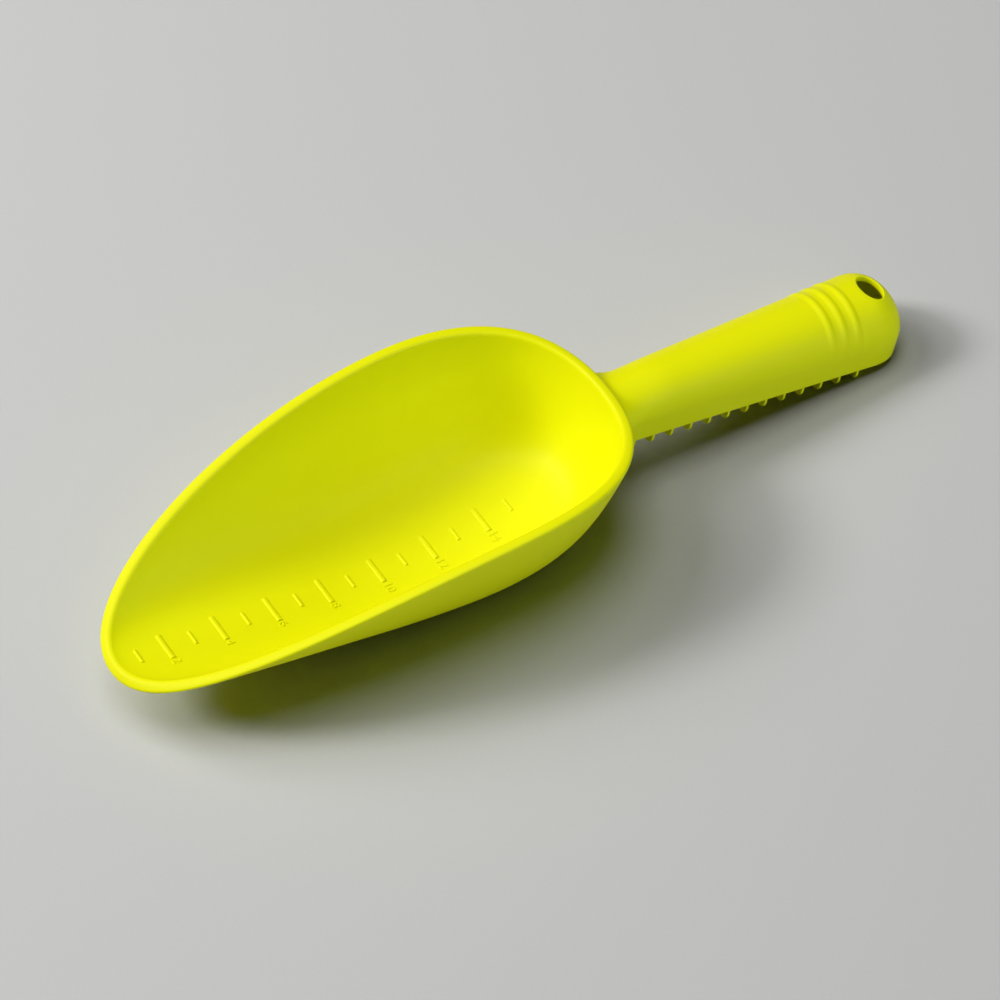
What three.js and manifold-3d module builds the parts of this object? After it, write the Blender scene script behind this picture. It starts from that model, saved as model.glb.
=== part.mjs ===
// Hand scoop with a depth scale, one moulding in soft satin plastic, lying on its belly and its grip.
// Lengths are millimetres. The moulding is drawn in its own frame: x runs from the tip to the handle,
// y across, z up from the upper face of the floor. The whole is then pitched to lie on the ground.
import * as THREE from 'three';
import { mergeVertices } from 'three/addons/utils/BufferGeometryUtils.js';
import Module from 'manifold-3d';

const wasm = await Module();
wasm.setup();

// Blade outline seen from above, two Bezier stretches for each side
const BLADE_LENGTH = 181;
const BLADE_WIDTH = 93;
const WIDEST_FROM_TIP = 119;
const TIP_ARM = 35.3;
const FRONT_FLANK_ARM = 40;
const BACK_FLANK_ARM = 25.7;
const BACK_ARM = 38.7;

// Rim line and floor line seen from the side
const RIM_BACK_HEIGHT = 56.4;
const RIM_BOW = 17.6;
const FLOOR_STRAIGHT = 78.7;
const HEEL_RADIUS = 223;

// Walls of the blade and how steeply they leave the floor
const BLADE_WALL = 2.5;
const RIM_THICKNESS = 3.8;
const RIM_NOSE = 1.55;
const RIM_SQUARENESS = 3;
const RIM_LEVELLING = 0.4;
const FLOOR_START = 31;
const FLOOR_END = 30;
const SIDE_STEEPNESS = 3.15;
const BACK_STEEPNESS = 7.4;
const STEEPENING = 3;
const RIM_THICKENING = 8;

// Handle, an arched channel open underneath that widens to a domed end
const HANDLE_LENGTH = 118.6;
const HANDLE_WALL = 2.2;
const NECK_WIDTH = 21.8;
const NECK_ARCH = 10.3;
const NECK_EDGE_BELOW_RIM = 19.4;
const NECK_FILLET = 9;
const NECK_FILLET_REACH = 5;
const NECK_FLARE = 4.5;
const NECK_ROOT = 12;
const NECK_DIP = 1.6;
const NECK_LENGTH = 24;
const END_WIDTH = 32;
const END_ARCH = 15.3;
const END_EDGE_RISE = 2.1;
const SKIRT_HEIGHT = 8;
const DOME_LENGTH = 14.1;
const DOME_END_ARCH = 1.1;
const DOME_SQUARENESS = 2.5;

// Three raised rings before the dome, and the hole to hang the scoop by
const RING_COUNT = 3;
const RING_PITCH = 5.2;
const RING_WIDTH = 4.2;
const RING_HEIGHT = 0.45;
const RING_FADE = 0.6;
const LAST_RING_FROM_END = 23.6;
const HOLE_LENGTH = 8.8;
const HOLE_WIDTH = 11.6;
const HOLE_FROM_END = 11.1;

// Cross ribs that stiffen the channel and round off the grip below its edge
const RIB_COUNT = 13;
const FIRST_RIB_FROM_BLADE = 8.1;
const LAST_RIB_FROM_END = 20.5;
const RIB_THICKNESS = 1;
const RIB_DROP = 5;
const RIB_CORNER = 2.6;
const RIB_INSET = 0.6;

// Depth scale on the floor, a raised bar each centimetre and a longer one every second centimetre
const MARK_PITCH = 10;
const MARK_CLEAR_OF_BACK = 25;
const SHORT_MARK_LENGTH = 5.4;
const SHORT_MARK_WIDTH = 1.2;
const LONG_MARK_LENGTH = 10.4;
const LONG_MARK_WIDTH = 1.9;
const MARK_HEIGHT = 0.6;

// Gap kept between features that are solids of their own
const SEAM = 0.3;

// Number of facets, and how much closer together they lie towards the rim
const FRONT_STEPS = 18;
const BACK_STEPS = 14;
const WALL_STEPS = 11;
const WALL_CROWDING = 1.5;
const NOSE_STEPS = 6;
const ARCH_STEPS = 16;
const FILLET_STEPS = 5;
const BODY_STEPS = 9;
const RING_STEPS = 4;
const DOME_STEPS = 7;
const HOLE_SIDES = 32;
const CORNER_STEPS = 5;
const RIDGE_STEPS = 4;

// Fineness of the sums: welding of corners, slopes by differences, and the nearest to the floor's line
const WELD = 1e-4;
const SLOPE_STEP = 1e-3;
const LEAST_SHARE = 0.02;

const PLASTIC_COLOUR = 0xe4e700;
const PLASTIC_ROUGHNESS = 0.42;

const point = (x, y, z) => new THREE.Vector3(x, y, z);
const flat = (x, y) => new THREE.Vector2(x, y);
const clamp = THREE.MathUtils.clamp;
const lerp = THREE.MathUtils.lerp;
const mirrored = (p) => point(p.x, -p.y, p.z);

// Second leg of a rounded corner whose first leg is given: squareness 2 is a circle, more is squarer
const otherLeg = (leg, squareness) => (1 - Math.abs(leg) ** squareness) ** (1 / squareness);

// Mesh helpers

function weld(geometry) {
  geometry.deleteAttribute('normal');
  geometry.deleteAttribute('uv');
  const welded = mergeVertices(geometry, WELD);
  const index = welded.getIndex().array;
  const kept = [];
  for (let i = 0; i < index.length; i += 3) {
    const [a, b, c] = [index[i], index[i + 1], index[i + 2]];
    if (a !== b && b !== c && c !== a) kept.push(a, b, c);
  }
  welded.setIndex(kept);
  return welded;
}

function geometryFromFaces(triangles) {
  const geometry = new THREE.BufferGeometry();
  geometry.setFromPoints(triangles);
  return weld(geometry);
}

function quad(triangles, a, b, c, d) {
  triangles.push(a, b, c, a, c, d);
}

function toSolid(geometry) {
  const vertProperties = new Float32Array(geometry.getAttribute('position').array);
  const triVerts = new Uint32Array(geometry.getIndex().array);
  return new wasm.Manifold(new wasm.Mesh({ numProp: 3, vertProperties, triVerts }));
}

function toGeometry(solid) {
  const mesh = solid.getMesh();
  const geometry = new THREE.BufferGeometry();
  geometry.setAttribute('position', new THREE.BufferAttribute(new Float32Array(mesh.vertProperties), 3));
  geometry.setIndex(new THREE.BufferAttribute(new Uint32Array(mesh.triVerts), 1));
  geometry.computeVertexNormals();
  return geometry;
}

// Blade: a curved sheet, given by its middle surface

const tipX = RIM_THICKNESS / 2;
const backX = BLADE_LENGTH - RIM_THICKNESS / 2;
const halfWidth = (BLADE_WIDTH - RIM_THICKNESS) / 2;
const frontEdge = new THREE.CubicBezierCurve(
  flat(tipX, 0),
  flat(tipX, TIP_ARM),
  flat(WIDEST_FROM_TIP - FRONT_FLANK_ARM, halfWidth),
  flat(WIDEST_FROM_TIP, halfWidth),
);
const backEdge = new THREE.CubicBezierCurve(
  flat(WIDEST_FROM_TIP, halfWidth),
  flat(WIDEST_FROM_TIP + BACK_FLANK_ARM, halfWidth),
  flat(backX, BACK_ARM),
  flat(backX, 0),
);

// Place q along the edge runs from 0 at the tip through 1 at the widest place to 2 at the back
function edgePoint(q) {
  return q <= 1 ? frontEdge.getPoint(q) : backEdge.getPoint(q - 1);
}

function floorHeight(x) {
  const beyond = Math.max(0, x - FLOOR_STRAIGHT);
  return -BLADE_WALL / 2 + beyond ** 2 / (2 * HEEL_RADIUS);
}

function rimHeight(share) {
  const back = RIM_BACK_HEIGHT - RIM_THICKNESS / 2;
  return lerp(-BLADE_WALL / 2, back, share) + 4 * RIM_BOW * share * (1 - share);
}

// Share v runs from 0 on the line of the floor to 1 at the edge
function sheetPoint(q, v) {
  const edge = edgePoint(q);
  const share = (edge.x - tipX) / (backX - tipX);
  const floorX = lerp(FLOOR_START, BLADE_LENGTH - FLOOR_END, share);
  const x = lerp(floorX, edge.x, v);
  const steepness = lerp(SIDE_STEEPNESS, BACK_STEEPNESS, share ** STEEPENING);
  const rise = rimHeight(share) - floorHeight(edge.x);
  return point(x, edge.y * v, floorHeight(x) + rise * v ** steepness);
}

// Unit vectors into the hollow and out along the sheet towards its edge
function sheetFrame(q, v) {
  const nearQ = clamp(q, SLOPE_STEP, 2 - SLOPE_STEP);
  const nearV = clamp(v, LEAST_SHARE, 1 - SLOPE_STEP);
  const along = sheetPoint(nearQ + SLOPE_STEP, nearV).sub(sheetPoint(nearQ - SLOPE_STEP, nearV));
  const across = sheetPoint(nearQ, nearV + SLOPE_STEP).sub(sheetPoint(nearQ, nearV - SLOPE_STEP));
  const inward = along.cross(across);
  const atTipOrBack = q === 0 || q === 2;
  if (atTipOrBack || v === 0) inward.y = 0;
  if (atTipOrBack) across.y = 0;
  inward.normalize();
  const outward = across.addScaledVector(inward, -across.dot(inward)).normalize();
  return { inward, outward };
}

function wallThickness(v) {
  return lerp(BLADE_WALL, RIM_THICKNESS, v ** RIM_THICKENING);
}

const wallShares = Array.from(
  { length: WALL_STEPS + 1 },
  (_, i) => 1 - (1 - i / WALL_STEPS) ** WALL_CROWDING,
);

// Slope that turns the rim's top from square to the wall towards level
function rimSlope({ inward, outward }, v) {
  const slope = Math.min(inward.z / Math.max(outward.z, WELD), RIM_LEVELLING);
  return slope * v ** RIM_THICKENING;
}

function sheetFace(q, offset) {
  return wallShares.map((v) => {
    const frame = sheetFrame(q, v);
    const p = sheetPoint(q, v).addScaledVector(frame.inward, offset(v));
    return p.addScaledVector(frame.outward, -offset(v) * rimSlope(frame, v));
  });
}

// Section of the sheet from the floor's underside, round the rim's nose, to the floor's upper face
function bladeSection(q) {
  const under = sheetFace(q, (v) => -wallThickness(v) / 2);
  const upper = sheetFace(q, (v) => wallThickness(v) / 2);
  const frame = sheetFrame(q, 1);
  const nose = [];
  for (let i = 1; i < NOSE_STEPS; i += 1) {
    const share = -Math.cos((Math.PI * i) / NOSE_STEPS);
    const across = (share * RIM_THICKNESS) / 2;
    const up = otherLeg(share, RIM_SQUARENESS) * RIM_NOSE - across * rimSlope(frame, 1);
    const p = sheetPoint(q, 1).addScaledVector(frame.inward, across);
    nose.push(p.addScaledVector(frame.outward, up));
  }
  return [...under, ...nose, ...upper.reverse()];
}

const edgePlaces = [
  ...Array.from({ length: FRONT_STEPS }, (_, i) => i / FRONT_STEPS),
  ...Array.from({ length: BACK_STEPS + 1 }, (_, i) => 1 + i / BACK_STEPS),
];

// Skin over sections all round the blade, up one side from the tip and down the other
function aroundBlade(section) {
  const side = edgePlaces.map(section);
  const other = side.slice(1, -1).reverse().map((row) => row.map(mirrored));
  const rows = [...side, ...other];
  const triangles = [];
  rows.forEach((row, k) => {
    const next = rows[(k + 1) % rows.length];
    for (let j = 0; j + 1 < row.length; j += 1) {
      quad(triangles, row[j], row[j + 1], next[j + 1], next[j]);
    }
  });
  return geometryFromFaces(triangles);
}

// Everything the blade takes up, with its hollow and the seam, to trim what meets its back
function bladeClearance() {
  const lidHeight = RIM_BACK_HEIGHT + END_ARCH + SKIRT_HEIGHT;
  const filled = aroundBlade((q) => {
    const under = sheetFace(q, (v) => -wallThickness(v) / 2 - SEAM);
    const top = under[under.length - 1].clone().setZ(lidHeight);
    const centre = point(under[0].x, 0, lidHeight);
    return [...under, top, centre];
  });
  return toSolid(filled);
}

// Handle: sections of an arched channel

const endX = BLADE_LENGTH + HANDLE_LENGTH;
const domeX = endX - DOME_LENGTH;
const neckEdgeZ = RIM_BACK_HEIGHT - NECK_EDGE_BELOW_RIM;

function alongHandle(x, neckValue, endValue) {
  return lerp(neckValue, endValue, (x - BLADE_LENGTH) / (domeX - BLADE_LENGTH));
}

function edgeZ(x) {
  return alongHandle(x, neckEdgeZ, neckEdgeZ + END_EDGE_RISE);
}

// The fillet leaves the handle's flank behind the blade and widens the neck up to the back wall.
// Inside the wall the neck narrows again to its root.
const filletEndX = BLADE_LENGTH + NECK_FILLET_REACH;
const filletTurn = Math.acos(1 - NECK_FLARE / NECK_FILLET);
const filletStartX = filletEndX - NECK_FILLET * Math.sin(filletTurn);
const rootX = filletStartX - NECK_ROOT;

function neckFlare(x) {
  if (x < filletStartX) return NECK_FLARE * clamp((x - rootX) / NECK_ROOT, 0, 1);
  const left = clamp((filletEndX - x) / NECK_FILLET, 0, 1);
  return NECK_FILLET * (1 - Math.sqrt(1 - left ** 2));
}

// Fades from 1 at the blade to 0 where the neck has become the straight handle
function neckShare(x) {
  return 1 - THREE.MathUtils.smoothstep(x, BLADE_LENGTH, BLADE_LENGTH + NECK_LENGTH);
}

// How far the blade's back wall has drawn in under its rim at a height, which the neck's sections follow
function backWallLean(z) {
  let [low, high] = [0, 1];
  while (high - low > WELD) {
    const middle = (low + high) / 2;
    if (sheetPoint(2, middle).z < z) low = middle;
    else high = middle;
  }
  return sheetPoint(2, high).x - backX;
}

function handleHalfWidth(x) {
  return alongHandle(x, NECK_WIDTH, END_WIDTH) / 2 + neckFlare(x);
}

function handleArch(x) {
  return alongHandle(x, NECK_ARCH, END_ARCH) - NECK_DIP * neckShare(x);
}

const ringCentres = Array.from(
  { length: RING_COUNT },
  (_, i) => endX - LAST_RING_FROM_END - (RING_COUNT - 1 - i) * RING_PITCH,
);

function ringSwell(x) {
  return ringCentres.reduce((swell, centre) => {
    const away = Math.min(1, Math.abs(x - centre) / (RING_WIDTH / 2));
    return swell + (RING_HEIGHT * (1 + Math.cos(Math.PI * away))) / 2;
  }, 0);
}

// One line over the arch, from one lower edge to the other
function archLine(x, reach, arch, swell) {
  const share = neckShare(x);
  const leaning = (y, z) => point(share > 0 ? x + share * backWallLean(z) : x, y, z);
  const line = [leaning(-reach, edgeZ(x))];
  for (let i = 0; i <= ARCH_STEPS; i += 1) {
    const turn = (Math.PI * i) / ARCH_STEPS;
    const grown = swell * Math.sin(turn) ** RING_FADE;
    const y = -(reach + grown) * Math.cos(turn);
    const z = edgeZ(x) + SKIRT_HEIGHT + (arch + grown) * Math.sin(turn);
    line.push(leaning(i === ARCH_STEPS / 2 ? 0 : y, z));
  }
  line.push(leaning(reach, edgeZ(x)));
  return line;
}

function handleStations() {
  const stations = [rootX];
  for (let i = FILLET_STEPS; i >= 0; i -= 1) {
    stations.push(filletEndX - NECK_FILLET * Math.sin((filletTurn * i) / FILLET_STEPS));
  }
  const bodyEnd = ringCentres[0] - RING_PITCH / 2;
  for (let i = 1; i <= BODY_STEPS; i += 1) {
    stations.push(lerp(filletEndX, bodyEnd, i / BODY_STEPS));
  }
  ringCentres.forEach((centre) => {
    for (let i = 1; i <= RING_STEPS; i += 1) {
      stations.push(centre + RING_PITCH * (i / RING_STEPS - 0.5));
    }
  });
  stations.push(domeX);
  return stations;
}

function handleRows() {
  const rows = handleStations().map((x) => ({
    outer: archLine(x, handleHalfWidth(x), handleArch(x), ringSwell(x)),
    inner: archLine(x, handleHalfWidth(x) - HANDLE_WALL, handleArch(x) - HANDLE_WALL, 0),
  }));
  for (let i = 1; i <= DOME_STEPS; i += 1) {
    const along = i === DOME_STEPS ? 1 : Math.sin((Math.PI / 2) * (i / DOME_STEPS));
    const domed = (inset) => {
      const x = domeX + (DOME_LENGTH - inset) * along;
      const reach = (handleHalfWidth(domeX) - inset) * otherLeg(along, DOME_SQUARENESS);
      const arch = lerp(DOME_END_ARCH, handleArch(domeX) - inset, otherLeg(along, 2));
      return archLine(x, reach, arch, 0);
    };
    rows.push({ outer: domed(0), inner: domed(HANDLE_WALL) });
  }
  return rows;
}

function hangHole() {
  const height = SKIRT_HEIGHT + END_ARCH;
  const geometry = weld(new THREE.CylinderGeometry(0.5, 0.5, height, HOLE_SIDES));
  const holeX = endX - HOLE_FROM_END;
  geometry.rotateX(Math.PI / 2);
  geometry.scale(HOLE_LENGTH, HOLE_WIDTH, 1);
  geometry.translate(holeX, 0, edgeZ(holeX) + SKIRT_HEIGHT + height / 2);
  return toSolid(geometry);
}

function handleGeometry() {
  const rows = handleRows();
  const loops = rows.map(({ outer, inner }) => [...outer, ...inner.slice().reverse()]);
  const triangles = [];
  for (let k = 0; k + 1 < loops.length; k += 1) {
    const [row, next] = [loops[k], loops[k + 1]];
    row.forEach((p, j) => {
      const after = (j + 1) % row.length;
      quad(triangles, p, next[j], next[after], row[after]);
    });
  }
  const { outer, inner } = rows[0];
  for (let j = 0; j + 1 < outer.length; j += 1) {
    quad(triangles, outer[j], outer[j + 1], inner[j + 1], inner[j]);
  }
  const shell = toSolid(geometryFromFaces(triangles));
  return toGeometry(shell.subtract(bladeClearance()).subtract(hangHole()));
}

// Ribs: plates that fill the channel and stand out below it, with shoulders under its edge

const firstRibX = BLADE_LENGTH + FIRST_RIB_FROM_BLADE;
const lastRibX = endX - LAST_RIB_FROM_END;
const ribPlaces = Array.from(
  { length: RIB_COUNT },
  (_, i) => lerp(firstRibX, lastRibX, i / (RIB_COUNT - 1)),
);

function ribShape(x) {
  const reach = handleHalfWidth(x) - HANDLE_WALL - SEAM;
  const arch = handleArch(x) - HANDLE_WALL - SEAM;
  const grip = handleHalfWidth(x) - RIB_INSET;
  const spring = edgeZ(x) + SKIRT_HEIGHT;
  const shoulder = edgeZ(x) - SEAM;
  const bottom = edgeZ(x) - RIB_DROP;
  const shape = new THREE.Shape();
  shape.moveTo(reach, shoulder);
  shape.lineTo(reach, spring);
  shape.absellipse(0, spring, reach, arch, 0, Math.PI, false, 0);
  shape.lineTo(-reach, shoulder);
  shape.lineTo(-grip, shoulder);
  shape.absarc(-grip + RIB_CORNER, bottom + RIB_CORNER, RIB_CORNER, Math.PI, 1.5 * Math.PI, false);
  shape.absarc(grip - RIB_CORNER, bottom + RIB_CORNER, RIB_CORNER, 1.5 * Math.PI, 2 * Math.PI, false);
  shape.lineTo(grip, shoulder);
  return shape;
}

// Turns a drawing in y and z, extruded along the third axis, to stand across the handle
const acrossHandle = new THREE.Matrix4().makeBasis(point(0, 1, 0), point(0, 0, 1), point(1, 0, 0));

function ribGeometry(x) {
  const geometry = new THREE.ExtrudeGeometry(ribShape(x), {
    depth: RIB_THICKNESS,
    bevelEnabled: false,
    curveSegments: CORNER_STEPS,
  });
  geometry.applyMatrix4(acrossHandle);
  geometry.translate(x - RIB_THICKNESS / 2, 0, 0);
  return geometry;
}

// Depth marks: low ridges with a rounded back, seated along the slope of the floor

function markGeometry(width, length) {
  const ridge = new THREE.Shape();
  ridge.moveTo(-width / 2, 0);
  ridge.lineTo(width / 2, 0);
  ridge.absellipse(0, 0, width / 2, MARK_HEIGHT, 0, Math.PI, false, 0);
  const geometry = new THREE.ExtrudeGeometry(ridge, {
    depth: length,
    bevelEnabled: false,
    curveSegments: RIDGE_STEPS,
  });
  geometry.translate(0, 0, -length / 2);
  geometry.rotateX(Math.PI / 2);
  return geometry;
}

// Assembly

function moulded(name, geometry) {
  const material = new THREE.MeshStandardMaterial({
    color: PLASTIC_COLOUR,
    roughness: PLASTIC_ROUGHNESS,
    metalness: 0,
  });
  const mesh = new THREE.Mesh(geometry, material);
  mesh.name = name;
  return mesh;
}

const numbered = (name, n) => `${name}_${String(n).padStart(2, '0')}`;

function depthMarks() {
  const count = Math.floor((BLADE_LENGTH - MARK_CLEAR_OF_BACK) / MARK_PITCH);
  return Array.from({ length: count }, (_, i) => {
    const long = i % 2 === 1;
    const width = long ? LONG_MARK_WIDTH : SHORT_MARK_WIDTH;
    const length = long ? LONG_MARK_LENGTH : SHORT_MARK_LENGTH;
    const mark = moulded(numbered('depth_mark', i + 1), markGeometry(width, length));
    const x = (i + 1) * MARK_PITCH;
    const slope = Math.atan(Math.max(0, x - FLOOR_STRAIGHT) / HEEL_RADIUS);
    const lift = BLADE_WALL / 2 + SEAM;
    mark.position.set(x - lift * Math.sin(slope), 0, floorHeight(x) + lift * Math.cos(slope));
    mark.rotation.y = -slope;
    return mark;
  });
}

// Pitch of the line that touches the heel from below and the last rib's lower edge
function restPitch() {
  const heelRadius = HEEL_RADIUS + BLADE_WALL / 2;
  const ribX = lastRibX + RIB_THICKNESS / 2;
  const reach = ribX - FLOOR_STRAIGHT;
  const height = edgeZ(ribX) - RIB_DROP + BLADE_WALL;
  const touch = reach - Math.sqrt(reach ** 2 - 2 * heelRadius * height);
  return Math.atan(touch / heelRadius);
}

const moulding = new THREE.Group();
moulding.add(moulded('blade', aroundBlade(bladeSection)));
moulding.add(moulded('handle_shell', handleGeometry()));
ribPlaces.forEach((x, i) => moulding.add(moulded(numbered('grip_rib', i + 1), ribGeometry(x))));
moulding.add(...depthMarks());
moulding.rotation.y = restPitch();

// Origin on the ground under the middle of the scoop
const scoop = new THREE.Group();
scoop.add(moulding);
const box = new THREE.Box3().setFromObject(scoop, true);
moulding.position.set(-(box.min.x + box.max.x) / 2, 0, -box.min.z);

export default scoop;
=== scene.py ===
import math

import bmesh
import bpy
from mathutils import Euler, Matrix, Vector
from mathutils.bvhtree import BVHTree


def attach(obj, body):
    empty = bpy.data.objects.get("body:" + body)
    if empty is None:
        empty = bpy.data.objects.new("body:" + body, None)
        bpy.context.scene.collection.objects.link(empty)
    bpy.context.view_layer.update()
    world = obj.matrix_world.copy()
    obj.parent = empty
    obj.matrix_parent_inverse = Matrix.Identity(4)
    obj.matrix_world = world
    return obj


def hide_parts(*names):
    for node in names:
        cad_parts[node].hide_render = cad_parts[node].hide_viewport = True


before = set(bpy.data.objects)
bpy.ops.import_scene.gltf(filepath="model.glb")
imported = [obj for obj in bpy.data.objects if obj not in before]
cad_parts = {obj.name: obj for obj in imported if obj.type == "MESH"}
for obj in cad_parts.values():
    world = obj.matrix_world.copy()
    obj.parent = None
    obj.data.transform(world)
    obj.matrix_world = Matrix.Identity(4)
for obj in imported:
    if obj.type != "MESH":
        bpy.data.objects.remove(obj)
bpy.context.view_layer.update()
scene = bpy.context.scene

# Lengths are millimetres in the moulding's own frame: x runs from the tip to the handle, y across,
# z up from the upper face of the floor. Each finished piece is then laid down in its resting pose.
MILLIMETRE = 0.001
QUARTER_TURN = math.pi / 2
REST_PITCH = math.radians(11.5883)
REST_PLACE = Vector((-151.5418, 0.0, 22.8866))
LAY_DOWN = (
    Matrix.Scale(MILLIMETRE, 4)
    @ Matrix.Translation(REST_PLACE)
    @ Matrix.Rotation(REST_PITCH, 4, "Y")
)

# Blade, with the names that its tree shows
BLADE_LENGTH = 181.0
BLADE_SIZES = {
    "Length": BLADE_LENGTH,
    "Width": 93.0,
    "Widest from tip": 119.0,
    "Tip arm": 35.3,
    "Front flank arm": 40.0,
    "Back flank arm": 25.7,
    "Back arm": 38.7,
    "Rim back height": 56.4,
    "Rim bow": 17.6,
    "Floor straight": 78.7,
    "Heel radius": 223.0,
    "Wall": 2.5,
    "Rim": 3.8,
    "Rim nose": 1.55,
    "Floor start": 31.0,
    "Floor end": 30.0,
    "Side steepness": 3.15,
    "Back steepness": 7.4,
    "Around": 321,
    "Wall steps": 44,
    "Nose steps": 12,
}
RIM_SQUARENESS = 3.0
RIM_LEVELLING = 0.4
RIM_THICKENING = 8.0
WALL_CROWDING = 1.5
SLOPE_STEP = 0.001
LEAST_ACROSS = 0.02
WELD = 0.001
SHARP_ANGLE = math.radians(40)

# Handle
HANDLE_LENGTH = 118.6
HANDLE_WALL = 2.2
NECK_WIDTH = 21.8
NECK_ARCH = 10.3
NECK_EDGE_Z = 37.0
NECK_DIP = 1.6
NECK_LENGTH = 24.0
NECK_ROOT_DEPTH = 0.6
FILLET_BOTTOM = 1.5
FILLET_SIDE = 6.5
FILLET_BELOW_RIM = 1.9
FILLET_LENGTH = 12.0
LEAST_RISE = 0.01
END_WIDTH = 32.0
END_ARCH = 15.3
END_EDGE_RISE = 2.1
SKIRT_HEIGHT = 8.0
EDGE_ROUND = 0.5
DOME_LENGTH = 14.1
DOME_END_ARCH = 1.1
DOME_SQUARENESS = 2.5
END_X = BLADE_LENGTH + HANDLE_LENGTH
DOME_X = END_X - DOME_LENGTH

# Raised rings and the hang hole
RING_COUNT = 3
RING_PITCH = 5.2
RING_WIDTH = 4.2
RING_HEIGHT = 0.45
RING_FADE = 0.6
LAST_RING_FROM_END = 23.6
RING_CENTRES = [END_X - LAST_RING_FROM_END - i * RING_PITCH for i in reversed(range(RING_COUNT))]
HOLE_LENGTH = 8.8
HOLE_WIDTH = 11.6
HOLE_FROM_END = 11.1
HOLE_X = END_X - HOLE_FROM_END
HOLE_ROUND = 0.5

# Facets of the handle
SKIRT_SHARES = (0.0, 0.06, 0.25, 0.5, 0.75)
ARCH_STEPS = 48
FILLET_STEPS = 10
NECK_STEPS = 10
BODY_STEPS = 24
RING_STEPS = 14
COLLAR_STEPS = 4
DOME_STEPS = 20
LIP_ANGLES = (30, 60, 90)
HOLE_FIRST_COLUMN = 15
HOLE_FIRST_DOME_ROW = -3
HOLE_LAST_DOME_ROW = 11
HOLE_SPREAD = (0.75, 0.5, 0.25, 0.0)

# Cross ribs under the handle, each outlined in stages from the middle of its lower edge to its crown
FIRST_RIB_FROM_BLADE = 8.1
RIB_SIZES = {
    "Count": 13,
    "First": BLADE_LENGTH + FIRST_RIB_FROM_BLADE,
    "Pitch": 7.5,
    "Thickness": 1.0,
    "Drop": 5.0,
    "Corner": 2.6,
    "Inset": 0.6,
    "Stage steps": 6,
}
RIB_STAGES = ("bottom", "corner", "side", "ledge", "skirt", "arch")
RIB_EMBED = 0.3
RIB_BEVEL = 0.22
BEVEL_SEGMENTS = 2

# Depth scale on the floor
MARK_PITCH = 10.0
MARK_SIZES = {
    "Count": 15,
    "Pitch": MARK_PITCH,
    "Short length": 5.4,
    "Short width": 1.2,
    "Long length": 10.4,
    "Long width": 1.9,
    "Height": 0.5,
    "Sink": 0.3,
}
MARK_POINTS_ACROSS = 13
MARK_POINTS_ALONG = 17
NUMERAL_SIZES = {
    "Pitch": MARK_PITCH,
    "Size": 4.4,
    "Gap": 5.9,
    "Relief": 0.25,
    "Sink": 0.3,
}
NUMERALS = (2, 4, 6, 8, 10, 12, 14)
ABOVE_ALL = 100.0

# Lime plastic, whose colour and sheen drift a little, and the paper under the scoop
LIME_DEEP = (0.77, 0.795, 0.0, 1.0)
LIME_PALE = (0.8, 0.825, 0.001, 1.0)
LIME_ROUGHNESS = 0.44
DRIFT_ROUGHNESS = 0.08
GRAIN_ROUGHNESS = 0.05
DRIFT_SCALE = 22.0
GRAIN_SCALE = 1900.0
PAPER_DEEP = (0.565, 0.595, 0.655, 1.0)
PAPER_PALE = (0.59, 0.62, 0.68, 1.0)
FIBRE_SCALE = 900.0

# Camera, aimed from the near left and above
CAMERA_TURN = math.radians(32.15)
CAMERA_TILT = math.radians(52.23)
CAMERA_DISTANCE = 1497.06
CAMERA_TARGET = Vector((151.0, 0.0, 0.0))
FOCAL_PIXELS = 4470.8
AIM_PIXELS = (503.9, 527.8)
IMAGE_PIXELS = 1000
SENSOR = 36.0

# Studio, in metres
SIGHT_LIMIT = 10.0
FLOOR_REACH = 4.0
SOFTBOX_SIDE = 0.9
LAMP_DISTANCE = 1.5
KEY_COLOUR = (1.0, 0.95, 0.86)
FILL_COLOUR = (0.8, 0.95, 1.0)
ROOM_COLOUR = (0.9, 0.96, 1.0, 1.0)
ROOM_STRENGTH = 0.005


class Field:
    """A socket that takes part in sums. Each operator adds one Math or Vector Math node."""

    def __init__(self, kit, socket):
        self.kit = kit
        self.socket = socket

    def output(self, name):
        return Field(self.kit, self.socket.node.outputs[name])

    def __add__(self, other):
        return self.kit.math("ADD", self, other)

    def __radd__(self, other):
        return self.kit.math("ADD", other, self)

    def __sub__(self, other):
        return self.kit.math("SUBTRACT", self, other)

    def __rsub__(self, other):
        return self.kit.math("SUBTRACT", other, self)

    def __mul__(self, other):
        return self.kit.math("MULTIPLY", self, other)

    def __rmul__(self, other):
        return self.kit.math("MULTIPLY", other, self)

    def __truediv__(self, other):
        return self.kit.math("DIVIDE", self, other)

    def __pow__(self, other):
        return self.kit.math("POWER", self, other)


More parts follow.
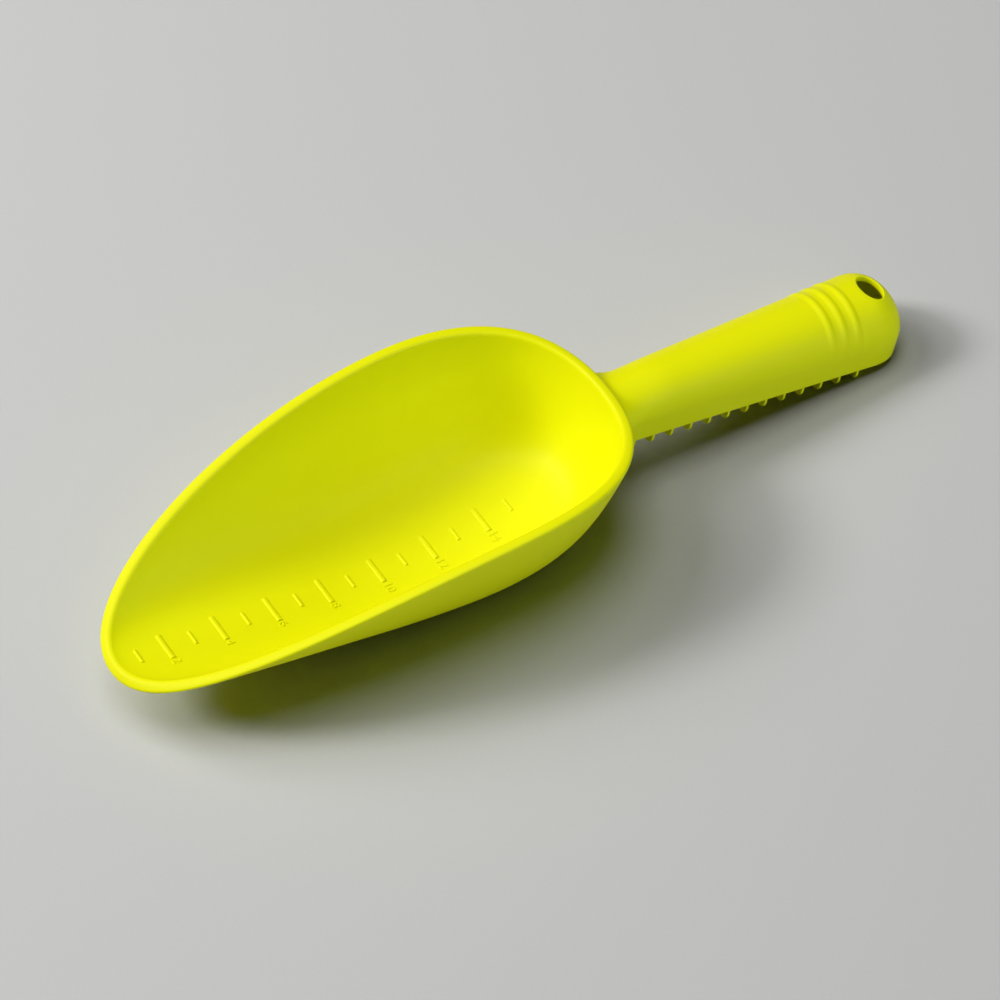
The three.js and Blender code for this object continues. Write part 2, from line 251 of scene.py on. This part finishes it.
class Kit:
    """Adds nodes to one tree and links them."""

    def __init__(self, tree):
        self.tree = tree

    def node(self, kind, sockets=None, output=0, **settings):
        node = self.tree.nodes.new(kind)
        for name, value in settings.items():
            setattr(node, name, value)
        for key, value in (sockets or {}).items():
            for part in value if isinstance(value, list) else [value]:
                if isinstance(part, Field):
                    self.tree.links.new(part.socket, node.inputs[key])
                else:
                    node.inputs[key].default_value = part
        return Field(self, node.outputs[output]) if node.outputs else None

    def math(self, operation, *values):
        vectors = [v for v in values if isinstance(v, Field) and v.socket.type == "VECTOR"]
        kind = "ShaderNodeVectorMath" if vectors else "ShaderNodeMath"
        sockets = dict(enumerate(values))
        if operation == "MULTIPLY" and len(vectors) == 1:
            operation = "SCALE"
            number = values[1] if vectors[0] is values[0] else values[0]
            sockets = {0: vectors[0], "Scale": number}
        return self.node(kind, sockets, operation=operation)

    def dot(self, a, b):
        return self.node("ShaderNodeVectorMath", {0: a, 1: b}, "Value", operation="DOT_PRODUCT")

    def clamp(self, value, low, high):
        return self.math("MINIMUM", self.math("MAXIMUM", value, low), high)

    def vector(self, x, y, z):
        return self.node("ShaderNodeCombineXYZ", {0: x, 1: y, 2: z})

    def parts(self, vector):
        x = self.node("ShaderNodeSeparateXYZ", {0: vector})
        return x, x.output("Y"), x.output("Z")


def between(a, b, share):
    return a + (b - a) * share


def smoothstep(low, high, value):
    share = min(1.0, max(0.0, (value - low) / (high - low)))
    return share * share * (3 - 2 * share)


def add_object(name, data):
    thing = bpy.data.objects.new(name, data)
    scene.collection.objects.link(thing)
    return thing


# Geometry trees

SOCKET_KINDS = {int: "NodeSocketInt", float: "NodeSocketFloat", bpy.types.Object: "NodeSocketObject"}


def grow(name, rule, sizes, material):
    """Makes a plain mesh from a tree of geometry nodes whose named inputs are the sizes."""
    tree = bpy.data.node_groups.new(name, "GeometryNodeTree")
    kit = Kit(tree)
    tree.interface.new_socket("Geometry", in_out="OUTPUT", socket_type="NodeSocketGeometry")
    inputs = {}
    for label, value in sizes.items():
        socket_kind = SOCKET_KINDS[type(value)]
        inputs[label] = tree.interface.new_socket(label, in_out="INPUT", socket_type=socket_kind)
    start = kit.node("NodeGroupInput")
    shape = rule(kit, {label: start.output(label) for label in sizes})
    plain = kit.node("GeometryNodeRealizeInstances", {0: shape})
    painted = kit.node("GeometryNodeSetMaterial", {0: plain, "Material": material})
    kit.node("NodeGroupOutput", {0: painted})

    piece = add_object(name, bpy.data.meshes.new(name))
    modifier = piece.modifiers.new(name, "NODES")
    modifier.node_group = tree
    for label, value in sizes.items():
        modifier[inputs[label].identifier] = value
    grown = piece.evaluated_get(bpy.context.evaluated_depsgraph_get())
    mesh = bpy.data.meshes.new_from_object(grown)
    piece.modifiers.remove(modifier)
    piece.data = mesh
    mesh.name = name
    bpy.data.node_groups.remove(tree)
    mesh.shade_smooth()
    mesh.set_sharp_from_angle(angle=SHARP_ANGLE)
    return piece


def shape_place(kit):
    return kit.parts(kit.node("GeometryNodeInputPosition"))


def moved(kit, geometry, x, y, z):
    return kit.node("GeometryNodeSetPosition", {0: geometry, "Position": kit.vector(x, y, z)})


def welded(kit, geometry):
    return kit.node("GeometryNodeMergeByDistance", {0: geometry, "Distance": WELD})


def thickened(kit, face, direction, depth):
    """Closed slab from a flat face to its copy, which stands off by the depth."""
    push = {0: face, "Offset": direction, "Offset Scale": depth, "Individual": False}
    raised = kit.node("GeometryNodeExtrudeMesh", push)
    under = kit.node("GeometryNodeFlipFaces", {0: face})
    return welded(kit, kit.node("GeometryNodeJoinGeometry", {0: [raised, under]}))


# Blade

def bezier(t, a, b, c, d):
    s = 1 - t
    return s * s * s * a + 3 * s * s * t * b + 3 * s * t * t * c + t * t * t * d


def sheet_point(kit, size, along, across):
    """Middle of the blade's sheet. Along is 0 at the tip, 1 at the widest place and 2 at the back.
    Across is 0 on the line of the floor and 1 at the edge."""
    tip_x = size["Rim"] / 2
    back_x = size["Length"] - tip_x
    half_width = size["Width"] / 2 - tip_x
    widest = size["Widest from tip"]
    half_wall = size["Wall"] / 2

    def floor_height(x):
        beyond = kit.math("MAXIMUM", x - size["Floor straight"], 0)
        return beyond * beyond / (2 * size["Heel radius"]) - half_wall

    front = kit.math("MINIMUM", along, 1)
    back = kit.math("MAXIMUM", along - 1, 0)
    edge_x = bezier(front, tip_x, tip_x, widest - size["Front flank arm"], widest)
    edge_x = edge_x + bezier(back, 0, size["Back flank arm"], back_x - widest, back_x - widest)
    edge_y = bezier(front, 0, size["Tip arm"], half_width, half_width)
    edge_y = edge_y + bezier(back, 0, 0, size["Back arm"] - half_width, 0 - half_width)

    share = (edge_x - tip_x) / (back_x - tip_x)
    rim_height = between(0 - half_wall, size["Rim back height"] - tip_x, share)
    rim_height = rim_height + 4 * size["Rim bow"] * share * (1 - share)
    floor_x = between(size["Floor start"], size["Length"] - size["Floor end"], share)
    x = between(floor_x, edge_x, across)
    steepness = between(size["Side steepness"], size["Back steepness"], share * share * share)
    rise = (rim_height - floor_height(edge_x)) * across ** steepness
    return kit.vector(x, edge_y * across, floor_height(x) + rise)


def blade_rule(kit, size):
    """The sheet's underside, the rounded nose of its rim and its upper side, as one closed skin.
    The grid's x runs along both sides of the scoop, and its y from the underside to the upper side."""
    steps = 2 * size["Wall steps"] + size["Nose steps"]
    grid = kit.node(
        "GeometryNodeMeshGrid",
        {"Size X": 4.0, "Size Y": 1.0, "Vertices X": size["Around"], "Vertices Y": steps + 1},
    )
    around, level, _ = shape_place(kit)
    level = level + 0.5
    along = kit.math("ABSOLUTE", around)
    side = kit.math("SIGN", around)
    wall_share = size["Wall steps"] / steps
    nearer_end = kit.math("MINIMUM", level, 1 - level)
    climb = kit.math("MINIMUM", nearer_end / wall_share, 1)
    across = 1 - (1 - climb) ** WALL_CROWDING
    turn = math.pi * kit.clamp((level - wall_share) / (1 - 2 * wall_share), 0, 1)

    near_along = kit.clamp(along, SLOPE_STEP, 2 - SLOPE_STEP)
    near_across = kit.clamp(across, LEAST_ACROSS, 1 - SLOPE_STEP)
    ahead = sheet_point(kit, size, near_along + SLOPE_STEP, near_across)
    behind = sheet_point(kit, size, near_along - SLOPE_STEP, near_across)
    farther = sheet_point(kit, size, near_along, near_across + SLOPE_STEP)
    nearer = sheet_point(kit, size, near_along, near_across - SLOPE_STEP)
    outward = farther - nearer
    inward = kit.math("NORMALIZE", kit.math("CROSS_PRODUCT", ahead - behind, outward))
    outward = kit.math("NORMALIZE", outward - inward * kit.dot(outward, inward))

    at_rim = across ** RIM_THICKENING
    share = kit.math("COSINE", turn)
    outside = share * between(size["Wall"], size["Rim"], at_rim) / 2
    nose = (1 - kit.math("ABSOLUTE", share) ** RIM_SQUARENESS) ** (1 / RIM_SQUARENESS)
    slope = kit.parts(inward)[2] / kit.math("MAXIMUM", kit.parts(outward)[2], SLOPE_STEP)
    slope = kit.math("MINIMUM", slope, RIM_LEVELLING) * at_rim
    point = sheet_point(kit, size, along, across)
    point = point - inward * outside + outward * (nose * size["Rim nose"] + outside * slope)
    x, y, z = kit.parts(point)
    off_middle = kit.math("MINIMUM", kit.math("MINIMUM", along, 2 - along), across)
    y = y * side * kit.math("GREATER_THAN", off_middle, WELD)
    return welded(kit, moved(kit, grid.output("Mesh"), x, y, z))


# Handle

def along_handle(x, neck_value, end_value):
    return between(neck_value, end_value, (min(x, DOME_X) - BLADE_LENGTH) / (DOME_X - BLADE_LENGTH))


def edge_z(x):
    return NECK_EDGE_Z + END_EDGE_RISE * (x - BLADE_LENGTH) / (DOME_X - BLADE_LENGTH)


def neck_share(x):
    return 1 - smoothstep(BLADE_LENGTH, BLADE_LENGTH + NECK_LENGTH, x)


def dome_share(x, inset, squareness):
    """How much of the handle's section is left along the dome. Squareness 2 rounds it like a circle."""
    beyond = max(0.0, x - DOME_X) / (DOME_LENGTH - inset)
    return max(0.0, 1 - beyond ** squareness) ** (1 / squareness)


def reach(x, inset):
    width = along_handle(x, NECK_WIDTH, END_WIDTH) / 2 - inset
    return width * dome_share(x, inset, DOME_SQUARENESS)


def crown(x, inset):
    arch = along_handle(x, NECK_ARCH, END_ARCH) - NECK_DIP * neck_share(x) - inset
    return between(DOME_END_ARCH, arch, dome_share(x, inset, 2))


def ring_swell(x):
    swell = 0.0
    for centre in RING_CENTRES:
        away = min(1.0, abs(x - centre) / (RING_WIDTH / 2))
        swell += RING_HEIGHT * (1 + math.cos(math.pi * away)) / 2
    return swell


def section_point(x, turn, share, inset, swell):
    """Across and up on the arched channel: turn runs over the arch, share up its straight skirt."""
    y = -(reach(x, inset) + swell) * math.cos(turn)
    skirt = between(EDGE_ROUND, SKIRT_HEIGHT, share)
    return y, edge_z(x) + skirt + (crown(x, inset) + swell) * math.sin(turn)


def fillet_height(turn, share):
    """How far the neck's fillet climbs the back wall, and no farther than a little below the rim."""
    side = between(FILLET_BOTTOM, FILLET_SIDE, share)
    top = BLADE_SIZES["Rim back height"] - FILLET_BELOW_RIM - NECK_EDGE_Z - SKIRT_HEIGHT
    room = top / max(math.sin(turn), LEAST_RISE) - (NECK_ARCH - NECK_DIP)
    return min(side, room)


def neck_row(wall_x, angle, share, depth):
    """Row of the neck. Its fillet lies on the blade's wall at angle 0 and on the handle at a right angle.
    From there share carries it on to where the neck ends."""
    def place(turn, skirt_share, inset):
        away = between(FILLET_LENGTH * (1 - math.cos(angle)), NECK_LENGTH, share) - depth
        flare = 0.0 if inset else fillet_height(turn, skirt_share) * (1 - math.sin(angle))
        x = BLADE_LENGTH + away
        y, z = section_point(x, turn, skirt_share, inset, flare)
        return Vector((x + (wall_x(y, z) - BLADE_LENGTH) * neck_share(x), y, z))
    return place


def body_row(x):
    def place(turn, skirt_share, inset):
        swell = 0.0 if inset else ring_swell(x) * math.sin(turn) ** RING_FADE
        return Vector((x, *section_point(x, turn, skirt_share, inset, swell)))
    return place


def dome_row(angle):
    def place(turn, skirt_share, inset):
        x = DOME_X + (DOME_LENGTH - inset) * math.sin(angle)
        return Vector((x, *section_point(x, turn, skirt_share, inset, 0.0)))
    return place


def back_wall(blade):
    """Tells where the blade's back wall stands in x. Above the rim's middle the rim's own x holds."""
    sheet = BVHTree.FromPolygons(
        [v.co for v in blade.data.vertices],
        [p.vertices for p in blade.data.polygons],
    )
    rim_middle = BLADE_SIZES["Rim back height"] - BLADE_SIZES["Rim"] / 2

    def wall_x(y, z):
        eye = Vector((END_X, y, min(z, rim_middle)))
        return sheet.ray_cast(eye, Vector((-1, 0, 0)))[0].x
    return wall_x


def handle_rows(wall_x):
    rows = [neck_row(wall_x, 0.0, 0.0, NECK_ROOT_DEPTH)]
    rows += [neck_row(wall_x, QUARTER_TURN * i / FILLET_STEPS, 0.0, 0.0) for i in range(FILLET_STEPS + 1)]
    rows += [neck_row(wall_x, QUARTER_TURN, i / NECK_STEPS, 0.0) for i in range(1, NECK_STEPS + 1)]
    neck_end = BLADE_LENGTH + NECK_LENGTH
    rings_start = RING_CENTRES[0] - RING_PITCH / 2
    rows += [body_row(between(neck_end, rings_start, i / BODY_STEPS)) for i in range(1, BODY_STEPS + 1)]
    ring_rows = RING_COUNT * RING_STEPS
    rows += [body_row(rings_start + RING_PITCH * i / RING_STEPS) for i in range(1, ring_rows + 1)]
    rings_end = rings_start + RING_COUNT * RING_PITCH
    rows += [body_row(between(rings_end, DOME_X, i / COLLAR_STEPS)) for i in range(1, COLLAR_STEPS)]
    first_dome_row = len(rows)
    rows += [dome_row(QUARTER_TURN * i / DOME_STEPS) for i in range(DOME_STEPS + 1)]
    return rows, first_dome_row


def handle_columns():
    skirt = list(SKIRT_SHARES)
    arch = [(math.pi * i / ARCH_STEPS, 1.0) for i in range(ARCH_STEPS + 1)]
    return [(0.0, s) for s in skirt] + arch + [(math.pi, s) for s in reversed(skirt)]


def edge_lip(outer, inner):
    """Rounded lower edge from the outer to the inner face of the wall."""
    across = (inner - outer).normalized() * EDGE_ROUND
    down = Vector((0, 0, -EDGE_ROUND))
    turns = [math.radians(a) for a in LIP_ANGLES]
    outside = [outer + across * (1 - math.cos(t)) + down * math.sin(t) for t in turns]
    inside = [inner - across * (1 - math.cos(t)) + down * math.sin(t) for t in reversed(turns)]
    return outside + inside


def section_loop(row, columns):
    outer = [row(turn, share, 0.0) for turn, share in columns]
    inner = [row(turn, share, HANDLE_WALL) for turn, share in columns]
    far_lip = edge_lip(outer[-1], inner[-1])
    near_lip = edge_lip(outer[0], inner[0])
    return outer + far_lip + inner[::-1] + near_lip[::-1]


def roof_height(x, y, inset):
    width = reach(x, inset)
    rise = math.sqrt(max(0.0, 1 - (y / width) ** 2))
    return edge_z(x) + SKIRT_HEIGHT + crown(x, inset) * rise


def hole_rings(outer_edge, inner_edge):
    """Rings of points from the outer skin over a rounded edge, down the hole and out to the inner skin."""
    angles = [math.atan2(p.y / HOLE_WIDTH, (p.x - HOLE_X) / HOLE_LENGTH) for p in outer_edge]

    def oval(angle, out):
        x = HOLE_X + (HOLE_LENGTH / 2 + out) * math.cos(angle)
        return x, (HOLE_WIDTH / 2 + out) * math.sin(angle)

    def spread(edge, share, inset):
        ring = []
        for angle, p in zip(angles, edge):
            x, y = oval(angle, HOLE_ROUND)
            x, y = between(x, p.x, share), between(y, p.y, share)
            ring.append(Vector((x, y, roof_height(x, y, inset))))
        return ring

    def rounded(turn, inset, sign):
        ring = []
        for angle in angles:
            x, y = oval(angle, HOLE_ROUND * (1 - math.sin(turn)))
            z = roof_height(x, y, inset) - sign * HOLE_ROUND * (1 - math.cos(turn))
            ring.append(Vector((x, y, z)))
        return ring

    turns = [math.radians(a) for a in LIP_ANGLES]
    rings = [spread(outer_edge, share, 0.0) for share in HOLE_SPREAD]
    rings += [rounded(t, 0.0, 1) for t in turns]
    rings += [rounded(t, HANDLE_WALL, -1) for t in reversed(turns)]
    rings += [spread(inner_edge, share, HANDLE_WALL) for share in reversed(HOLE_SPREAD)]
    return rings


def bridge(form, loop, following, places):
    """Faces between two closed loops, at the places named."""
    for j in places:
        after = (j + 1) % len(loop)
        form.faces.new((loop[j], loop[after], following[after], following[j]))


def handle_form(wall_x):
    """Closed wall of the handle: rows of sections, an end face at the neck and the hang hole through it."""
    rows, first_dome_row = handle_rows(wall_x)
    columns = handle_columns()
    width = len(columns)
    lip = 2 * len(LIP_ANGLES)
    form = bmesh.new()
    grid = [[form.verts.new(p) for p in section_loop(row, columns)] for row in rows]
    count = len(grid[0])

    first_row = first_dome_row + HOLE_FIRST_DOME_ROW
    last_row = first_dome_row + HOLE_LAST_DOME_ROW
    first_column = HOLE_FIRST_COLUMN + len(SKIRT_SHARES)
    last_column = width - 1 - first_column

    def opposite(column):
        return width + lip + width - 1 - column

    def in_hole(k, j):
        outer = first_column <= j < last_column
        inner = opposite(last_column) <= j < opposite(first_column)
        return first_row <= k < last_row and (outer or inner)

    for k in range(len(grid) - 1):
        bridge(form, grid[k], grid[k + 1], [j for j in range(count) if not in_hole(k, j)])

    root = grid[0]
    for j in range(width - 1):
        form.faces.new((root[j], root[j + 1], root[opposite(j + 1)], root[opposite(j)]))
    form.faces.new(root[width - 1:width + lip + 1])
    form.faces.new(root[2 * width + lip - 1:] + root[:1])

    spots = [(first_row, c) for c in range(first_column, last_column)]
    spots += [(k, last_column) for k in range(first_row, last_row)]
    spots += [(last_row, c) for c in range(last_column, first_column, -1)]
    spots += [(k, first_column) for k in range(last_row, first_row, -1)]
    outer_edge = [grid[k][c] for k, c in spots]
    inner_edge = [grid[k][opposite(c)] for k, c in spots]
    rings = hole_rings([v.co for v in outer_edge], [v.co for v in inner_edge])
    loops = [outer_edge] + [[form.verts.new(p) for p in ring] for ring in rings] + [inner_edge]
    for loop, following in zip(loops, loops[1:]):
        bridge(form, loop, following, range(len(loop)))

    bmesh.ops.remove_doubles(form, verts=form.verts, dist=WELD)
    bmesh.ops.recalc_face_normals(form, faces=form.faces)
    return form


def handle_piece(name, blade, material):
    form = handle_form(back_wall(blade))
    mesh = bpy.data.meshes.new(name)
    form.to_mesh(mesh)
    form.free()
    mesh.shade_smooth()
    mesh.materials.append(material)
    return add_object(name, mesh)


# Ribs

def rib_rule(kit, size):
    """Each rib is a plate that fills the channel and stands out below it with rounded lower corners."""
    corners = 2 * len(RIB_STAGES) * size["Stage steps"]
    row = kit.node(
        "GeometryNodeMeshLine",
        {"Count": size["Count"], "Start Location": (0, 0, 0), "Offset": (0, 0, 0)},
    )
    plate = kit.node("GeometryNodeMeshCircle", {"Vertices": corners}, fill_type="NGON")
    ribs = kit.node("GeometryNodeInstanceOnPoints", {"Points": row, "Instance": plate})
    ribs = kit.node("GeometryNodeRealizeInstances", {0: ribs})
    index = kit.node("GeometryNodeInputIndex")
    number = kit.math("FLOOR", (index + 0.5) / corners)
    around = 2 * (index - number * corners) / corners - 1
    side = kit.math("SIGN", around)
    stage = len(RIB_STAGES) * kit.math("ABSOLUTE", around)

    def stretch(name):
        return kit.clamp(stage - RIB_STAGES.index(name), 0, 1)

    def cosine(name):
        return kit.math("COSINE", stretch(name) * QUARTER_TURN)

    def sine(name):
        return kit.math("SINE", stretch(name) * QUARTER_TURN)

    x = size["First"] + number * size["Pitch"]
    far = (x - BLADE_LENGTH) / (DOME_X - BLADE_LENGTH)
    half_width = between(NECK_WIDTH, END_WIDTH, far) / 2
    fill = half_width - (HANDLE_WALL - RIB_EMBED)
    fade = kit.clamp((x - BLADE_LENGTH) / NECK_LENGTH, 0, 1)
    dip = NECK_DIP * (1 - fade * fade * (3 - 2 * fade))
    arch = between(NECK_ARCH, END_ARCH, far) - dip - (HANDLE_WALL - RIB_EMBED)
    grip = half_width - size["Inset"]
    drop = size["Drop"]
    corner = size["Corner"]
    bottom = NECK_EDGE_Z + END_EDGE_RISE * far - drop
    y = (grip - corner) * stretch("bottom") + corner * sine("corner")
    y = y - (grip - fill) * stretch("ledge") - fill * (1 - cosine("arch"))
    z = bottom + corner * (1 - cosine("corner")) + (drop - corner + RIB_EMBED) * stretch("side")
    z = z + (SKIRT_HEIGHT - RIB_EMBED) * stretch("skirt") + arch * sine("arch")
    plates = moved(kit, ribs, x - size["Thickness"] / 2, y * side, z)
    return thickened(kit, plates, (1, 0, 0), size["Thickness"])


# Depth scale

def floor_under(kit, blade, x, y):
    """Height of the blade's upper face straight below a point."""
    sheet = kit.node("GeometryNodeObjectInfo", {"Object": blade}, "Geometry")
    ray = {
        "Target Geometry": sheet,
        "Source Position": kit.vector(x, y, ABOVE_ALL),
        "Ray Direction": (0, 0, -1),
        "Ray Length": 2 * ABOVE_ALL,
    }
    hit = kit.node("GeometryNodeRaycast", ray, "Hit Position")
    return kit.parts(hit)[2]


def mark_rule(kit, size):
    """Bars with a rounded back, one each centimetre and every second one longer."""
    step = kit.vector(size["Pitch"], 0, 0)
    line = kit.node("GeometryNodeMeshLine", {"Count": size["Count"], "Start Location": step, "Offset": step})
    block = {
        "Size": (1, 1, 2),
        "Vertices X": MARK_POINTS_ACROSS,
        "Vertices Y": MARK_POINTS_ALONG,
        "Vertices Z": 2,
    }
    bar = kit.node("GeometryNodeMeshCube", block)
    index = kit.node("GeometryNodeInputIndex")
    long = kit.math("MODULO", index, 2)
    width = between(size["Short width"], size["Long width"], long)
    length = between(size["Short length"], size["Long length"], long)
    x, y, z = shape_place(kit)
    back = kit.math("SQRT", kit.math("MAXIMUM", 1 - 4 * x * x, 0))
    upper = kit.math("GREATER_THAN", z, 0)
    ridge = moved(kit, bar, x, y, upper * (back + 1) - 1)
    scale = kit.vector(width, length, 1)
    bars = kit.node("GeometryNodeInstanceOnPoints", {"Points": line, "Instance": ridge, "Scale": scale})
    bars = kit.node("GeometryNodeRealizeInstances", {0: bars})
    x, y, z = shape_place(kit)
    ground = floor_under(kit, size["Blade"], x, y)
    raised = size["Height"] * kit.math("MAXIMUM", z, 0)
    sunk = size["Sink"] * kit.math("MINIMUM", z, 0)
    return moved(kit, bars, x, y, ground + raised + sunk)


def numeral_rule(kit, size):
    """Raised numbers at the near end of each long bar, read along it, tops towards the handle."""
    figures = []
    for number in NUMERALS:
        writing = {"String": str(number), "Size": size["Size"]}
        text = kit.node("GeometryNodeStringToCurves", writing, align_x="LEFT", align_y="MIDDLE")
        place = kit.vector(size["Pitch"] * number, 0 - size["Gap"], 0)
        turned = {0: text, "Translation": place, "Rotation": (0, 0, -QUARTER_TURN)}
        figures.append(kit.node("GeometryNodeTransform", turned))
    text = kit.node("GeometryNodeJoinGeometry", {0: figures})
    text = kit.node("GeometryNodeRealizeInstances", {0: text})
    face = kit.node("GeometryNodeFillCurve", {0: text})
    whole = thickened(kit, face, (0, 0, 1), 1.0)
    x, y, z = shape_place(kit)
    height = between(0 - size["Sink"], size["Relief"], z)
    return moved(kit, whole, x, y, floor_under(kit, size["Blade"], x, y) + height)


# Finishes

def blank_tree(owner):
    owner.use_nodes = True
    owner.node_tree.nodes.clear()
    return Kit(owner.node_tree)


def speckle(kit, scale, detail):
    place = kit.node("ShaderNodeTexCoord", output="Object")
    return kit.node("ShaderNodeTexNoise", {"Vector": place, "Scale": scale, "Detail": detail})


def mottled(kit, share, deep, pale):
    return kit.node("ShaderNodeMix", {"Factor": share, 6: deep, 7: pale}, 2, data_type="RGBA")


def lime_plastic():
    """Satin moulded plastic with a fine grain, and a faint unevenness in its colour and sheen."""
    material = bpy.data.materials.new("lime_plastic")
    kit = blank_tree(material)
    drift = speckle(kit, DRIFT_SCALE, 3.0)
    grain = speckle(kit, GRAIN_SCALE, 2.0)
    bump = kit.node("ShaderNodeBump", {"Strength": 0.12, "Distance": 0.00008, "Height": grain})
    surface = {
        "Base Color": mottled(kit, drift, LIME_DEEP, LIME_PALE),
        "Roughness": LIME_ROUGHNESS + DRIFT_ROUGHNESS * drift + GRAIN_ROUGHNESS * grain,
        "Normal": bump,
        "IOR": 1.46,
        "Specular IOR Level": 0.15,
    }
    shader = kit.node("ShaderNodeBsdfPrincipled", surface)
    kit.node("ShaderNodeOutputMaterial", {"Surface": shader})
    return material


def pale_paper():
    """Pale grey sweep under the scoop."""
    material = bpy.data.materials.new("pale_paper")
    kit = blank_tree(material)
    colour = mottled(kit, speckle(kit, FIBRE_SCALE, 3.0), PAPER_DEEP, PAPER_PALE)
    shader = kit.node("ShaderNodeBsdfPrincipled", {"Base Color": colour, "Roughness": 0.8})
    kit.node("ShaderNodeOutputMaterial", {"Surface": shader})
    return material


# Laying the pieces down

def lay_down(piece, *nodes):
    piece.data.transform(LAY_DOWN)
    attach(piece, "root")
    if nodes:
        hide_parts(*nodes)


def bevel(piece, width):
    edge = piece.modifiers.new("soft edges", "BEVEL")
    edge.width = width * MILLIMETRE
    edge.segments = BEVEL_SEGMENTS
    edge.limit_method = "ANGLE"


def numbered(name, count):
    return [f"{name}_{i:02d}" for i in range(1, count + 1)]


plastic = lime_plastic()
blade = grow("scoop_blade", blade_rule, BLADE_SIZES, plastic)
handle = handle_piece("scoop_handle", blade, plastic)
ribs = grow("grip_ribs", rib_rule, RIB_SIZES, plastic)
marks = grow("depth_marks", mark_rule, {**MARK_SIZES, "Blade": blade}, plastic)
numerals = grow("depth_numerals", numeral_rule, {**NUMERAL_SIZES, "Blade": blade}, plastic)

lay_down(blade, "blade")
lay_down(handle, "handle_shell")
lay_down(ribs, *numbered("grip_rib", RIB_SIZES["Count"]))
lay_down(marks, *numbered("depth_mark", MARK_SIZES["Count"]))
lay_down(numerals)
bevel(ribs, RIB_BEVEL)


# Camera, floor and light

def camera():
    eye = bpy.data.cameras.new("camera")
    eye.sensor_width = SENSOR
    eye.lens = SENSOR * FOCAL_PIXELS / IMAGE_PIXELS
    eye.clip_end = SIGHT_LIMIT
    right = Vector((math.cos(CAMERA_TURN), -math.sin(CAMERA_TURN), 0))
    level = Vector((math.sin(CAMERA_TURN), math.cos(CAMERA_TURN), 0))
    forward = level * math.cos(CAMERA_TILT) - Vector((0, 0, math.sin(CAMERA_TILT)))
    up = right.cross(forward)
    centre = IMAGE_PIXELS / 2
    aside = (AIM_PIXELS[0] - centre) / FOCAL_PIXELS
    above = (centre - AIM_PIXELS[1]) / FOCAL_PIXELS
    ray = forward + right * aside + up * above
    place = LAY_DOWN @ CAMERA_TARGET - ray * CAMERA_DISTANCE * MILLIMETRE
    turn = Matrix((right, up, -forward)).transposed().to_4x4()
    stand = add_object("camera", eye)
    stand.matrix_world = Matrix.Translation(place) @ turn
    scene.camera = stand


def hang(name, kind, turn, height, power, colour):
    """Lamp that faces the scoop. Turn and height are its degrees round and above the floor."""
    lamp = bpy.data.lights.new(name, kind)
    lamp.energy = power
    lamp.color = colour
    stand = add_object(name, lamp)
    facing = Euler((0, -math.radians(height), math.radians(turn))).to_matrix() @ Vector((1, 0, 0))
    stand.location = facing * LAMP_DISTANCE
    stand.rotation_euler = (-facing).to_track_quat("-Z", "Y").to_euler()
    return stand


def softbox(name, turn, height, power, colour):
    stand = hang(name, "AREA", turn, height, power, colour)
    stand.data.shape = "SQUARE"
    stand.data.size = SOFTBOX_SIDE
    return stand


def window(name, turn, height, power, spread):
    """Even light from one side, as soft as its spread in degrees."""
    stand = hang(name, "SUN", turn, height, power, KEY_COLOUR)
    stand.data.angle = math.radians(spread)


def flag_off_floor(stand, pieces):
    """Keeps a lamp's light on the pieces, as a flag beside it would."""
    lit = bpy.data.collections.new(stand.name)
    for piece in pieces:
        lit.objects.link(piece)
    stand.light_linking.receiver_collection = lit


def sweep():
    mesh = bpy.data.meshes.new("floor")
    side = FLOOR_REACH
    corners = [(-side, -side, 0), (side, -side, 0), (side, side, 0), (-side, side, 0)]
    mesh.from_pydata(corners, [], [(0, 1, 2, 3)])
    mesh.materials.append(pale_paper())
    floor = add_object("floor", mesh)


def surroundings():
    world = bpy.data.worlds.new("studio")
    kit = blank_tree(world)
    glow = kit.node("ShaderNodeBackground", {"Color": ROOM_COLOUR, "Strength": ROOM_STRENGTH})
    kit.node("ShaderNodeOutputWorld", {"Surface": glow})
    scene.world = world


camera()
sweep()
surroundings()
softbox("key", turn=135, height=46, power=12.2, colour=KEY_COLOUR)
window("window", turn=149, height=36, power=1.36, spread=15)
window("skylight", turn=135, height=85, power=0.98, spread=33)
fill = softbox("fill", turn=290, height=30, power=9.3, colour=FILL_COLOUR)
flag_off_floor(fill, (blade, handle, ribs, marks, numerals))
scene.view_settings.view_transform = "Standard"
